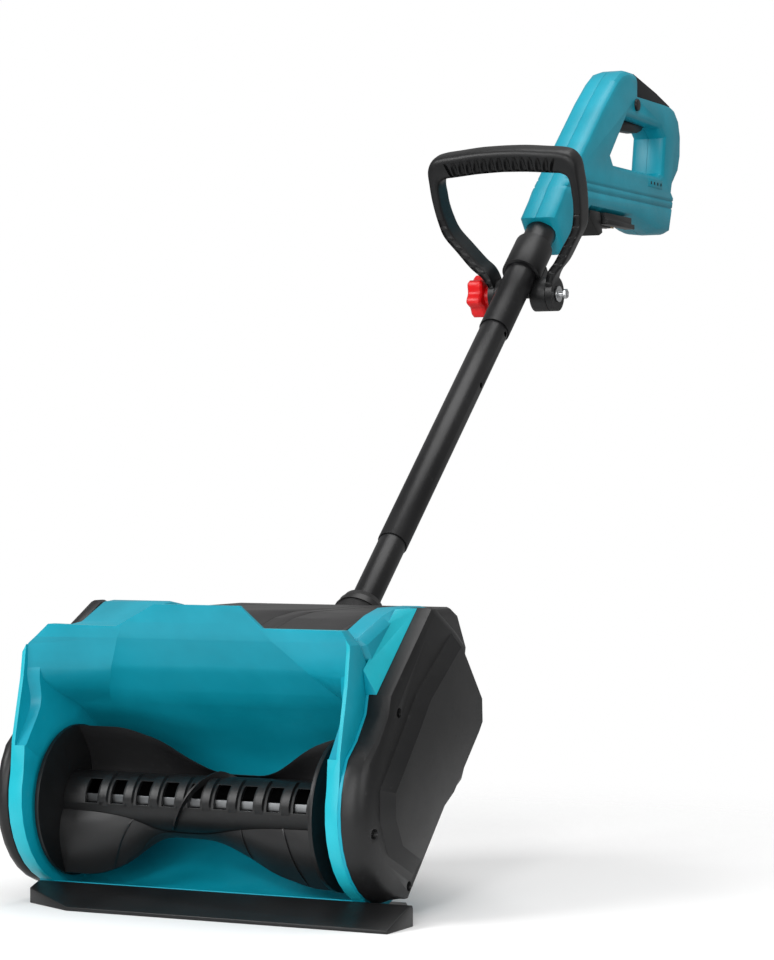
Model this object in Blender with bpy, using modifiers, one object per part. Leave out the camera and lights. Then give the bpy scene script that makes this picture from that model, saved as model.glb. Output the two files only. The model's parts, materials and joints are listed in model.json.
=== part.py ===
"""Cordless snow shovel: a battery pole tool with a belt-driven auger head.

All numbers are in millimetres and are turned into metres where a mesh is made.
The origin lies on the ground under the middle of the auger. +X is the operator's
left to right seen from the front, -Y is where the machine throws, +Z is up.
"""

import math

import bmesh
import bpy
from mathutils import Matrix, Vector

MM = 0.001
GAP = 0.3

# Auger and its housing
AUGER_Z = 90.0
AUGER_RADIUS = 70.0
HUB_RADIUS = 28.0
AUGER_LEFT = -152.0
AUGER_RIGHT = 132.0
DISC_THICKNESS = 4.0
SLOT_PITCH = 27.0
SLOT_WIDTH = 13.0
PADDLE_THICKNESS = 4.5
PADDLE_EDGE = ((-150, 69), (-102, 68.5), (-64, 58), (-33, 42), (-6, 31.5), (12, 30), (50, 30), (65, 39),
               (84, 56), (104, 65), (118, 69), (134, 69))
CAVITY_RADIUS = 78.0
CAVITY_LEFT = -156.0
CAVITY_RIGHT = 153.0
BOSS_LEFT = 136.0
HOOD_LEFT = -166.5
HOOD_RIGHT = 161.5
SHEET = 3.5
HOUSING_LEFT = -170.0
HOUSING_RIGHT = 165.0
PLATE_TOP = 276.0
SHOULDER_TOP = 256.0
SCRAPER_RIGHT = 214.0

# Belt drive on the right side
MOTOR_Y = 85.0
MOTOR_Z = 205.0
MOTOR_RADIUS = 26.0
MOTOR_PULLEY_RADIUS = 9.0
AUGER_PULLEY_RADIUS = 38.0
SHAFT_RADIUS = 6.0
BELT_LEFT = 178.0
BELT_RIGHT = 188.0
BELT_THICKNESS = 2.5
CASE_RIGHT = 168.2
FLARE_RIGHT = 176.0
COVER_FACE = 192.0
COVER_RIGHT = 203.0
COVER_WALL = 3.5
DRUM_STEPS = 10
DRUM_ROUNDING = 22.0
RIM_ROUNDING = 6.0
SPLIT_X = 135.0
COVER_SCREWS = ((-19, 183), (-66, 82), (1, 29))
SCREW_RECESS = 8.0

# Pole: a straight line in the X = 0 plane
POLE_ANGLE = math.radians(41.84)
POLE_Y = 301.5
POLE_Z = 267.2
UPPER_TUBE = (17.2, 16.1)
MID_TUBE = (15.8, 14.9)
LOWER_TUBE = (14.6, 13.2)
LOWER_RIM = 82.5
UPPER_RIM = 424.6
UPPER_BUTTON = UPPER_RIM + 20.0
LOWER_BUTTON = LOWER_RIM + 18.0
SLIDE_TRAVEL = 86.5
NOSE = 598.0

# Clamp and bail handle
PIVOT_S = 519.0
PIVOT_T = -25.5
BAIL_TILT = math.radians(20.7)
BAIL_DEPTH = 28.0
EAR_RADIUS = 19.0
EAR_OUTER = 30.5
BOLT_RADIUS = 3.0

# Rear handle
HANDLE_HALF_WIDTH = 22.0
HANDLE_WALL = 4.5
HANDLE_RIM = 4.5
PAD_Z = 848.0
BUTTON_Y, BUTTON_Z = 990.0, 838.0
TRIGGER_PIN = (1048.0, 828.0)

BLACK = (0.018, 0.018, 0.020)
DARK_GREY = (0.045, 0.045, 0.050)
TEAL = (0.0, 0.27, 0.42)
STEEL = (0.56, 0.57, 0.58)
RED = (0.62, 0.01, 0.01)
BRASS = (0.72, 0.52, 0.22)
GREEN = (0.02, 0.18, 0.07)


# ---------------------------------------------------------------- scene

def clear_scene():
    for obj in list(bpy.data.objects):
        bpy.data.objects.remove(obj, do_unlink=True)


def new_collection(name):
    collection = bpy.data.collections.new(name)
    bpy.context.scene.collection.children.link(collection)
    return collection


def material(name, colour, roughness, metallic=0.0):
    """One Principled material, made once and reused under its name."""
    found = bpy.data.materials.get(name)
    if found:
        return found
    made = bpy.data.materials.new(name)
    made.use_nodes = True
    shader = made.node_tree.nodes["Principled BSDF"]
    shader.inputs["Base Color"].default_value = (*colour, 1.0)
    shader.inputs["Roughness"].default_value = roughness
    shader.inputs["Metallic"].default_value = metallic
    made.diffuse_color = (*colour, 1.0)
    return made


def black_plastic():
    return material("black_plastic", BLACK, 0.45)


def grey_plastic():
    return material("grey_plastic", DARK_GREY, 0.40)


def teal_plastic():
    return material("teal_plastic", TEAL, 0.35)


def steel():
    return material("steel", STEEL, 0.30, 1.0)


# ---------------------------------------------------------------- frames

def along_pole(s, t=0.0):
    """(y, z) of the point s along the pole and t above its axis."""
    c, q = math.cos(POLE_ANGLE), math.sin(POLE_ANGLE)
    return POLE_Y + s * c - t * q, POLE_Z + s * q + t * c


def pole_frame():
    """Local +Z runs up the pole, local +X is the world's, local -Y is the pole's upper side."""
    turn = Matrix.Rotation(POLE_ANGLE - math.pi / 2, 4, "X")
    return Matrix.Translation(Vector((0, POLE_Y, POLE_Z)) * MM) @ turn


def bail_frame():
    """Local +Z runs from the clamp bolt to the grip, local +X is the world's."""
    y, z = along_pole(PIVOT_S, PIVOT_T)
    return Matrix.Translation(Vector((0, y, z)) * MM) @ Matrix.Rotation(BAIL_TILT, 4, "X")


def shift(x=0.0, y=0.0, z=0.0):
    return Matrix.Translation(Vector((x, y, z)) * MM)


# ---------------------------------------------------------------- solids

def finish(name, bm, mat, frame=None, smooth=35.0, collection=None):
    """Turns a bmesh in millimetres into an object in metres, placed by frame."""
    bmesh.ops.recalc_face_normals(bm, faces=bm.faces)
    bmesh.ops.scale(bm, vec=(MM, MM, MM), verts=bm.verts)
    mesh = bpy.data.meshes.new(name)
    bm.to_mesh(mesh)
    bm.free()
    mesh.materials.append(mat)
    mesh.shade_smooth()
    mesh.set_sharp_from_angle(angle=math.radians(smooth))
    obj = bpy.data.objects.new(name, mesh)
    (collection or PARTS).objects.link(obj)
    if frame is not None:
        obj.matrix_world = frame
    return obj


def helper(name, bm, frame=None):
    """A cutter or a piece to join: it stays in the file but isn't part of the object."""
    obj = finish(name, bm, material("helper", (0.5, 0.5, 0.5), 0.5), frame, collection=HELPERS)
    obj.hide_render = True
    obj.display_type = "WIRE"
    return obj


def prism(outline, axis, low, high):
    """A flat outline swept along X, Y or Z. The outline's two numbers are the other two axes in order."""
    bm = bmesh.new()
    add_prism(bm, outline, axis, low, high)
    return bm


def add_prism(bm, outline, axis, low, high):
    order = {"X": lambda a, b: (low, a, b), "Y": lambda a, b: (a, low, b), "Z": lambda a, b: (a, b, low)}
    place = order[axis]
    direction = {"X": (1, 0, 0), "Y": (0, 1, 0), "Z": (0, 0, 1)}[axis]
    face = bm.faces.new([bm.verts.new(place(a, b)) for a, b in outline])
    moved = bmesh.ops.extrude_face_region(bm, geom=[face], use_keep_orig=True)["geom"]
    verts = [v for v in moved if isinstance(v, bmesh.types.BMVert)]
    bmesh.ops.translate(bm, vec=Vector(direction) * (high - low), verts=verts)


def box(x, y, z):
    """A block from three (low, high) pairs."""
    bm = bmesh.new()
    size = [high - low for low, high in (x, y, z)]
    middle = [(high + low) / 2 for low, high in (x, y, z)]
    bmesh.ops.create_cube(bm, size=1.0, matrix=Matrix.Translation(middle) @ Matrix.Diagonal((*size, 1)))
    return bm


def add_rod(bm, axis, centre, radius, low, high, segments=32, end_radius=None):
    """A cylinder or a cone along an axis. centre gives the other two axes in order."""
    turn = {"X": Matrix.Rotation(math.pi / 2, 4, "Y"), "Y": Matrix.Rotation(-math.pi / 2, 4, "X"),
            "Z": Matrix.Identity(4)}[axis]
    middle = list(centre)
    middle.insert("XYZ".index(axis), (low + high) / 2)
    bmesh.ops.create_cone(bm, cap_ends=True, segments=segments, radius1=radius,
                          radius2=radius if end_radius is None else end_radius, depth=high - low,
                          matrix=Matrix.Translation(middle) @ turn)


def rod(axis, centre, radius, low, high, segments=32, end_radius=None):
    bm = bmesh.new()
    add_rod(bm, axis, centre, radius, low, high, segments, end_radius)
    return bm


def loft(rings):
    """A closed body through rings of (x, y, z) points, all with the same number of points."""
    bm = bmesh.new()
    loops = [[bm.verts.new(point) for point in ring] for ring in rings]
    count = len(loops[0])
    for a, b in zip(loops, loops[1:]):
        for k in range(count):
            n = (k + 1) % count
            bm.faces.new((a[k], a[n], b[n], b[k]))
    bmesh.ops.triangulate(bm, faces=bm.faces)
    bm.faces.new(loops[0])
    bm.faces.new(loops[-1])
    return bm


def turned(profile, segments=32):
    """A profile of (radius, x) points, closed on itself, turned round the X axis."""
    bm = bmesh.new()
    verts = [bm.verts.new((x, 0, radius)) for radius, x in profile]
    edges = [bm.edges.new((a, b)) for a, b in zip(verts, verts[1:] + verts[:1])]
    bmesh.ops.spin(bm, geom=verts + edges, cent=(0, 0, 0), axis=(1, 0, 0), angle=2 * math.pi,
                   steps=segments, use_merge=True, use_duplicate=False)
    bmesh.ops.remove_doubles(bm, verts=bm.verts, dist=0.001)
    return bm


def set_pivot(obj, x, y, z):
    """Moves an object's origin to a point of its joint axis and leaves its shape where it is."""
    obj.data.transform(shift(-x, -y, -z))
    obj.matrix_world = shift(x, y, z)


def cut(target, cutter, operation="DIFFERENCE"):
    modifier = target.modifiers.new(f"{operation.lower()} {cutter.name}", "BOOLEAN")
    modifier.operation = operation
    modifier.object = cutter
    modifier.solver = "EXACT"


def join(target, other):
    cut(target, other, "UNION")


def round_edges(target, width, segments=2, angle=40.0):
    modifier = target.modifiers.new("round edges", "BEVEL")
    modifier.width = width * MM
    modifier.segments = segments
    modifier.limit_method = "ANGLE"
    modifier.angle_limit = math.radians(angle)
    return modifier


def arc(centre, radius, start, end, steps):
    """Points on a circle from start to end in degrees, both ends included."""
    turn = [math.radians(start + (end - start) * i / steps) for i in range(steps + 1)]
    return [(centre[0] + radius * math.cos(a), centre[1] + radius * math.sin(a)) for a in turn]


def bezier(p0, p1, p2, p3, steps):
    points = []
    for i in range(steps + 1):
        t = i / steps
        w = ((1 - t) ** 3, 3 * t * (1 - t) ** 2, 3 * t * t * (1 - t), t ** 3)
        points.append(tuple(sum(k * p[n] for k, p in zip(w, (p0, p1, p2, p3))) for n in (0, 1)))
    return points


def offset(points, distance, closed=True):
    """Moves an outline to its left by distance, or by one distance for each point, with mitred corners."""
    moved = []
    count = len(points)
    distances = distance if isinstance(distance, list) else [distance] * count
    for i, point in enumerate(points):
        before = points[i - 1] if closed or i else None
        after = points[(i + 1) % count] if closed or i < count - 1 else None
        normals = []
        for a, b in ((before, point), (point, after)):
            if a is None or b is None:
                continue
            length = math.dist(a, b)
            normals.append((-(b[1] - a[1]) / length, (b[0] - a[0]) / length))
        if len(normals) == 1:
            normals = normals * 2
        (ax, ay), (bx, by) = normals
        scale = distances[i] / (1 + ax * bx + ay * by)
        moved.append((point[0] + (ax + bx) * scale, point[1] + (ay + by) * scale))
    return moved


# ---------------------------------------------------------------- auger housing

def throat(extra=0.0):
    """The inside wall, from the lip under the auger, round its back, up to the deflector's top edge."""
    lip_angle = -90 - math.degrees(math.asin(30 / CAVITY_RADIUS))
    leave = 22.0
    drum = arc((0, AUGER_Z), CAVITY_RADIUS, lip_angle, leave, 12)
    top = (-64.0, PLATE_TOP + 4)
    hood = bezier(drum[-1], (52, 168), (-30, 186), top, 7)
    wall = drum + hood[1:]
    return offset(wall, -extra, closed=False) if extra else wall


def cheek_front():
    """Front edge of both cheeks, from the deflector's top corner down to the lip."""
    ring = arc((0, 98), 85.5, 164, 247, 8)
    return [(-69, PLATE_TOP + 6), (-61, 240), (-66, 207), (-75, 171), (-80, 150), *ring]


def auger_housing():
    outside = throat(SHEET)
    outline = outside + cheek_front()
    shell = finish("auger_housing", prism(outline, "X", HOUSING_LEFT, HOUSING_RIGHT), teal_plastic())
    front = [(-130, PLATE_TOP + 40), (-200, 200), (-200, -20), (-60, -20)]
    hollow = throat() + front
    cut(shell, helper("throat cutter", prism(hollow, "X", CAVITY_LEFT, CAVITY_RIGHT)))
    cut(shell, helper("hood cutter", prism(hood_opening(), "X", HOOD_LEFT, HOOD_RIGHT)))
    boss = rod("X", (0, AUGER_Z), 22.0, BOSS_LEFT, CAVITY_RIGHT + 2, 36)
    join(shell, helper("bearing boss", boss))
    cut(shell, helper("top edge cutter", prism(top_edge_cutter(), "Y", -200, 20)))
    below = box((HOUSING_LEFT - 10, HOUSING_RIGHT + 10), (-120, 60), (-20, 8.3))
    cut(shell, helper("flat bottom cutter", below))
    cut(shell, helper("shaft bore cutter", rod("X", (0, AUGER_Z), 9.0, -200, 200)))
    right_pocket = rod("X", (0, AUGER_Z), 48.0, 160, 180, 40)
    cut(shell, helper("right pocket cutter", right_pocket))
    left_pocket = rod("X", (0, AUGER_Z), 48.0, -180, -164, 40)
    cut(shell, helper("left pocket cutter", left_pocket))
    right_seat = rod("X", (0, AUGER_Z), 16.3, 143.7, 164)
    cut(shell, helper("right bearing cutter", right_seat))
    return shell


def hood_opening():
    """Above the drum the cheeks are thin, so the opening is wider there."""
    wall = [p for p in throat() if p[1] > 196]
    return wall + [(-130, PLATE_TOP + 40), (-200, 200), (-200, 146), (-78, 146)]


def top_edge_cutter():
    """Everything above the deflector's top edge: low shoulders, a raised middle, clipped corners."""
    return [(-240, 190), (-190, 190), (-166, 238), (-144, SHOULDER_TOP), (-76, SHOULDER_TOP - 1),
            (-31, PLATE_TOP), (56, PLATE_TOP), (74, SHOULDER_TOP), (157, SHOULDER_TOP),
            (167, 240), (190, 190), (240, 190), (240, 340), (-240, 340)]


def scraper_bar():
    """The wedge that rides on the ground and lifts the snow into the auger."""
    section = [(-88, 0), (-88, 3.5), (-44, 18.5), (-38, 18.5), (-31.5, 8), (44, 8), (44, 0)]
    bar = finish("scraper_bar", prism(section, "X", -165, SCRAPER_RIGHT), black_plastic())
    left = [(-180, -100), (-106, -100), (-106, -88.5), (-166, -57), (-180, -57)]
    cut(bar, helper("scraper left corner cutter", prism(left, "Z", -5, 40)))
    right = [(SCRAPER_RIGHT, -37), (SCRAPER_RIGHT + 20, -37), (SCRAPER_RIGHT + 20, 60), (160, 60)]
    cut(bar, helper("scraper right corner cutter", prism(right, "Z", -5, 40)))
    return bar


RIGHT_TOP = [(12, 266), (40, 272)]
LEFT_TOP = [(36, 254), (76, 271)]


def side_profile(top):
    """The side cases' outline behind the deflector, seen from the right. top is its upper front stretch."""
    wall = throat(SHEET + 0.7)
    front = [p for p in wall if p[1] > 128 and p[1] < top[0][1] - 4]
    back = [(92, 272), (118, 268), (150, 244), (172, 205), (166, 165), (122, 128)]
    return front + top + back


def cover_outline(front_top=((52, 272),), rear_top=((122, 238), (104, 250), (62, 272))):
    """A side cover: a band parallel to the pole with a round end about the auger. The tops differ by side."""
    front = [(-31, 199), (-36, 182), (-54, 160)]
    rear = [(4, 17), (26, 38), (88, 97), (118, 112), (146, 158), (148, 184)]
    return [*front_top, *front, *arc((0, 98), 86, 146, 254, DRUM_STEPS), *rear, *rear_top]


def left_outline():
    return cover_outline(((78, 272), (30, 247)), ((122, 240), (106, 262), (92, 272)))


def cover_ring(x, extra=0.0):
    """The right cover's outline at x. Its rim is rounded a little, and a lot about the auger."""
    outline = cover_outline()
    drum = range(4, 5 + DRUM_STEPS)
    insets = []
    for index in range(len(outline)):
        radius = DRUM_ROUNDING if index in drum else RIM_ROUNDING
        depth = max(0.0, x - (COVER_FACE - radius))
        insets.append(radius - math.sqrt(radius ** 2 - depth ** 2) + extra)
    return offset(outline, insets)


def band_foot():
    """Foot of the raised band on the right cover."""
    front = [(90, 248), (17, 199), (-8, 171), (-57, 119), (-57, 91), (-41, 60), (9, 39)]
    rear = [(26, 64), (51, 90), (76, 102), (131, 153), (139, 164), (138, 187), (103, 230)]
    return front + rear


def band_top():
    """Rim of the band's flat top, with as many points as its foot. Its front side slopes the most."""
    front = [(88, 236), (23, 192), (-1, 165), (-48, 116), (-48, 94), (-34, 69), (4, 52)]
    rear = [(20, 66), (47, 93), (72, 106), (128, 157), (135, 165), (134, 186), (99, 226)]
    return front + rear


def belt_case():
    plate = prism(cover_outline(), "X", HOUSING_RIGHT + GAP, CASE_RIGHT)
    case = finish("belt_case", plate, teal_plastic())
    block = helper("belt case block", prism(side_profile(RIGHT_TOP), "X", SPLIT_X, HOUSING_RIGHT + 2))
    bevel = round_edges(block, 7.0, 1)
    bevel.angle_limit = math.radians(60)
    join(case, block)
    join(case, helper("belt case flare", case_flare()))
    bay = rod("X", (MOTOR_Y, MOTOR_Z), MOTOR_RADIUS + 1.5, SPLIT_X - 10, 161, 40)
    cut(case, helper("motor bay cutter", bay))
    nose = rod("X", (MOTOR_Y, MOTOR_Z), 9.0, 150, 180)
    cut(case, helper("motor nose cutter", nose))
    cut(case, helper("auger shaft cutter", rod("X", (0, AUGER_Z), 12.0, 160, 180)))
    return case


def case_flare():
    """A wedge along the cover's upper front edge. It rises from the case's side to the cover's rim."""
    top, bottom = (51.4, 271.8), (-31.4, 199.3)
    low_edge = [(-36.5, 221.0), (28.0, 271.8)]
    bm = bmesh.new()
    for x, ring in ((HOUSING_RIGHT + GAP, [*low_edge, top, bottom]), (HOUSING_RIGHT + 2 * GAP, low_edge),
                    (FLARE_RIGHT, [top, bottom])):
        for y, z in ring:
            bm.verts.new((x, y, z))
    bmesh.ops.convex_hull(bm, input=bm.verts)
    return bm


def left_case():
    block = prism(side_profile(LEFT_TOP), "X", HOUSING_LEFT, -100)
    case = finish("left_case", block, teal_plastic())
    round_edges(case, 4.0, 2, 70)
    hollow = offset(side_profile(LEFT_TOP), -5.0)
    cut(case, helper("left case hollow cutter", prism(hollow, "X", HOUSING_LEFT + 5, -90)))
    return case


def belt_cover():
    """A base with a rounded rim, and on it a raised band parallel to the pole."""
    levels = (CASE_RIGHT + GAP, 170, 177, 182, 186, 189.5, COVER_FACE)
    rings = [[(x, y, z) for y, z in cover_ring(x)] for x in levels]
    cover = finish("belt_cover", loft(rings), black_plastic())
    join(cover, helper("cover band", band(COVER_FACE - 1.5, COVER_RIGHT, 0.0)))
    inside = [[(x - COVER_WALL, y, z) for y, z in cover_ring(x, COVER_WALL + 0.5)] for x in levels]
    cut(cover, helper("belt cover hollow cutter", loft(inside)))
    inside_band = band(COVER_FACE - 10, COVER_RIGHT - COVER_WALL, COVER_WALL + 0.5)
    cut(cover, helper("band hollow cutter", inside_band))
    for index, (y, z) in enumerate(COVER_SCREWS):
        post = rod("X", (y, z), 6.5, CASE_RIGHT + GAP, COVER_FACE - 2.5, 20)
        join(cover, helper(f"cover screw post {index + 1}", post))
        hole = rod("X", (y, z), 4.6, COVER_FACE - SCREW_RECESS, COVER_FACE + 5, 20)
        cut(cover, helper(f"cover screw recess {index + 1}", hole))
        bore = rod("X", (y, z), 2.3, CASE_RIGHT - 5, COVER_FACE, 16)
        cut(cover, helper(f"cover screw bore {index + 1}", bore))
    return cover


def band(low, high, inset):
    """The raised band between two x, with sloped sides. Its foot is flat up to the cover's face."""
    foot, top = offset(band_foot(), inset), offset(band_top(), inset)
    face = high - (COVER_RIGHT - COVER_FACE)
    return loft([[(x, y, z) for y, z in ring] for x, ring in ((low, foot), (face, foot), (high, top))])


def left_cover():
    plate = prism(left_outline(), "X", HOUSING_LEFT - 15, HOUSING_LEFT - GAP)
    cover = finish("left_cover", plate, black_plastic())
    round_edges(cover, 6.0, 2, 60)
    hollow = offset(left_outline(), 8.0)
    cut(cover, helper("left cover hollow cutter", prism(hollow, "X", HOUSING_LEFT - 11.5, HOUSING_LEFT + 5)))
    return cover


# ---------------------------------------------------------------- motor and belt

def motor_housing():
    """The black shell between the side cases. It is open towards the deflector's back."""
    wall = throat(SHEET + 0.7)
    front = [p for p in wall if p[1] > 100 and p[1] < 250]
    back = [(20, 262), (60, 266), (215, 266), (232, 258), (252, 226), (240, 170), (190, 112), (110, 84)]
    right = SPLIT_X - GAP
    shell = finish("motor_housing", prism(front + back, "X", -99.7, right), grey_plastic())
    round_edges(shell, 5.0, 2, 60)
    hollow = [(y - 12, z) for y, z in front] + offset(front + back, -4.0)[len(front):]
    cut(shell, helper("motor housing hollow cutter", prism(hollow, "X", -96, right - 4)))
    passage = rod("X", (MOTOR_Y, MOTOR_Z), MOTOR_RADIUS + 1.5, right - 10, right + 10, 40)
    cut(shell, helper("motor passage cutter", passage))
    socket_bore = rod("Z", (0, 0), 24.0, -100, 60, 40)
    cut(shell, helper("socket passage cutter", socket_bore, pole_frame()))
    return shell


def pole_socket():
    """The sleeve that holds the lower tube, with a wide collar that closes the rear housing."""
    socket = finish("pole_socket", rod("Z", (0, 0), 23.7, -78, -14, 40), grey_plastic(), pole_frame())
    collar = helper("socket collar", rod("Z", (0, 0), 25.5, -22, -7, 40, 21.0), pole_frame())
    join(socket, collar)
    cut(socket, helper("socket bore cutter", rod("Z", (0, 0), LOWER_TUBE[0] + GAP, -74, 10, 32), pole_frame()))
    return socket


def motor_at(name, bm, mat):
    return finish(name, bm, mat, shift(0, MOTOR_Y, MOTOR_Z))


def motor():
    can = turned([(MOTOR_RADIUS, 84), (MOTOR_RADIUS, 158), (7.5, 158), (7.5, 155.5), (23, 155.5), (23, 84)], 36)
    motor_at("motor_can", can, steel())
    bell = turned([(26, 77), (26, 83.7), (5, 83.7), (5, 77)], 36)
    motor_at("motor_end_bell", bell, black_plastic())
    rotor = turned([(0, 66), (4, 66), (4, 96), (9, 96), (9, 104), (4, 104), (4, 108), (20, 108), (20, 148),
                    (4, 148), (4, 192), (0, 192)], 24)
    motor_at("motor_rotor", rotor, steel())
    motor_at("motor_fan", fan(), black_plastic())
    pulley = turned([(4.3, 176), (12, 176), (12, 177.5), (MOTOR_PULLEY_RADIUS - GAP, 177.7),
                     (MOTOR_PULLEY_RADIUS - GAP, 188.3), (12, 188.5), (12, 190), (4.3, 190)], 28)
    motor_at("drive_pulley", pulley, steel())


def fan():
    """A seven-bladed disc outline that pushes air through the motor."""
    outline = []
    for blade in range(7):
        turn = 360 / 7 * blade
        outline += arc((0, 0), 9.0, turn, turn + 22, 2)
        outline += arc((0, 0), 22.0, turn + 30, turn + 48, 2)
    bm = bmesh.new()
    add_prism(bm, outline, "X", 67, 74)
    hub = rod("X", (0, 0), 4.3, 60, 80, 24)
    holder = finish("fan holder", bm, black_plastic(), collection=HELPERS)
    holder.hide_render = True
    cut(holder, helper("fan bore cutter", hub))
    return baked(holder)


def baked(obj):
    """The evaluated mesh of an object, back in millimetres, so that it can be placed as a new piece."""
    graph = bpy.context.evaluated_depsgraph_get()
    mesh = bpy.data.meshes.new_from_object(obj.evaluated_get(graph))
    bm = bmesh.new()
    bm.from_mesh(mesh)
    bmesh.ops.scale(bm, vec=(1 / MM, 1 / MM, 1 / MM), verts=bm.verts)
    bpy.data.meshes.remove(mesh)
    bpy.data.objects.remove(obj, do_unlink=True)
    return bm


def belt_loop(extra):
    """The line round both pulleys at their radii plus extra, as (y, z)."""
    dy, dz = MOTOR_Y, MOTOR_Z - AUGER_Z
    distance = math.hypot(dy, dz)
    heading = math.degrees(math.atan2(dz, dy))
    wrap = math.degrees(math.acos((AUGER_PULLEY_RADIUS - MOTOR_PULLEY_RADIUS) / distance))
    small = arc((MOTOR_Y, MOTOR_Z), MOTOR_PULLEY_RADIUS + extra, heading - wrap, heading + wrap, 8)
    large = arc((0, AUGER_Z), AUGER_PULLEY_RADIUS + extra, heading + wrap, heading + 360 - wrap, 22)
    return small + large


def belt_drive():
    outer = finish("drive_belt", prism(belt_loop(BELT_THICKNESS), "X", BELT_LEFT, BELT_RIGHT),
                   material("belt_rubber", (0.012, 0.012, 0.012), 0.75))
    cut(outer, helper("belt inside cutter", prism(belt_loop(0.0), "X", BELT_LEFT - 5, BELT_RIGHT + 5)))
    rim = AUGER_PULLEY_RADIUS - GAP
    pulley = turned([(SHAFT_RADIUS + GAP, 175), (14, 175), (14, 177.6), (rim, 177.6), (rim, 188.4), (rim - 5, 188.4),
                     (rim - 5, 182), (12, 182), (12, 192), (SHAFT_RADIUS + GAP, 192)], 44)
    finish("auger_pulley", pulley, grey_plastic(), shift(0, 0, AUGER_Z))


# ---------------------------------------------------------------- auger

def auger_shaft():
    left, right = -183.0, 194.0
    profile = [(0, left + 4), (SHAFT_RADIUS - 1, left + 4), (SHAFT_RADIUS, left + 5), (SHAFT_RADIUS, right - 1),
               (SHAFT_RADIUS - 1, right), (0, right)]
    finish("auger_shaft", turned(profile, 24), steel(), shift(0, 0, AUGER_Z))
    for side, low in (("left", -163.5), ("right", 144.0)):
        ring = [(SHAFT_RADIUS + GAP, low), (8.6, low), (8.6, low + 7), (SHAFT_RADIUS + GAP, low + 7)]
        if side == "right":
            ring = [(SHAFT_RADIUS + GAP, low), (16, low), (16, low + 8), (SHAFT_RADIUS + GAP, low + 8)]
        finish(f"{side}_bearing", turned(ring, 28), steel(), shift(0, 0, AUGER_Z))


def auger_discs():
    for side, low in (("left", AUGER_LEFT), ("right", AUGER_RIGHT - DISC_THICKNESS)):
        high = low + DISC_THICKNESS
        profile = [(SHAFT_RADIUS + GAP, low), (AUGER_RADIUS, low), (AUGER_RADIUS, high), (SHAFT_RADIUS + GAP, high)]
        finish(f"auger_{side}_disc", turned(profile, 44), black_plastic(), shift(0, 0, AUGER_Z))


def auger_hub():
    """A tube with a row of windows along it, through which the paddles' steel core shows."""
    low, high = AUGER_LEFT + DISC_THICKNESS + GAP, AUGER_RIGHT - DISC_THICKNESS - GAP
    profile = [(HUB_RADIUS - 3.5, low), (HUB_RADIUS, low), (HUB_RADIUS, high), (HUB_RADIUS - 3.5, high)]
    hub = finish("auger_hub", turned(profile, 32), black_plastic(), shift(0, 0, AUGER_Z))
    for index in range(9):
        middle = -118 + SLOT_PITCH * index
        window = box((middle - SLOT_WIDTH / 2, middle + SLOT_WIDTH / 2), (-HUB_RADIUS - 5, -10), (1.0, 22.0))
        cut(hub, helper(f"hub window {index + 1}", window, shift(0, 0, AUGER_Z)))
    bore, rim = SHAFT_RADIUS + GAP, HUB_RADIUS - 2.5
    for side, start in (("left", low + 1), ("right", high - 5)):
        web = turned([(bore, start), (rim, start), (rim, start + 4), (bore, start + 4)], 32)
        join(hub, helper(f"hub {side} web", web, shift(0, 0, AUGER_Z)))


def paddle_radius(x):
    """Outer radius of the upper paddle: full at both ends, down to the hub a little right of the middle."""
    for (x0, r0), (x1, r1) in zip(PADDLE_EDGE, PADDLE_EDGE[1:]):
        if x <= x1:
            share = (x - x0) / (x1 - x0)
            return r0 + (r1 - r0) * share
    return PADDLE_EDGE[-1][1]


def paddle_section(x, lower):
    """The paddle's section at x: a curved blade that leans forward from the hub to its edge."""
    along = -x if lower else x
    edge = paddle_radius(along)
    tip = math.radians(100 + 9 * along / 140)
    lean = 0.82 * math.acos(min(1.0, HUB_RADIUS / edge))
    inner = HUB_RADIUS + 2 * GAP
    front, back = [], []
    for share in (0.0, 0.5, 1.0):
        radius = inner + (edge - inner) * share
        turn = tip + lean * (1 - share) ** 1.3
        half = PADDLE_THICKNESS / 2 / radius
        front.append((radius, turn - half))
        back.append((radius, turn + half))
    sign = -1 if lower else 1
    return [Vector((x, -sign * r * math.cos(a), sign * r * math.sin(a))) for r, a in front + back[::-1]]


def auger_paddles():
    """Two paddles, each a curved sheet with a waist. The lower one is the upper one turned half way round."""
    low, high = AUGER_LEFT + DISC_THICKNESS + GAP, AUGER_RIGHT - DISC_THICKNESS - GAP
    steps = 22
    for name, lower in (("auger_upper_paddle", False), ("auger_lower_paddle", True)):
        sections = [paddle_section(low + (high - low) * i / steps, lower) for i in range(steps + 1)]
        finish(name, loft(sections), black_plastic(), shift(0, 0, AUGER_Z))


# ---------------------------------------------------------------- pole

def tube(name, radii, low, high, mat):
    pipe = finish(name, rod("Z", (0, 0), radii[0], low, high, 36), mat, pole_frame())
    cut(pipe, helper(f"{name} bore", rod("Z", (0, 0), radii[1], low - 5, high + 5, 36), pole_frame()))
    return pipe


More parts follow.
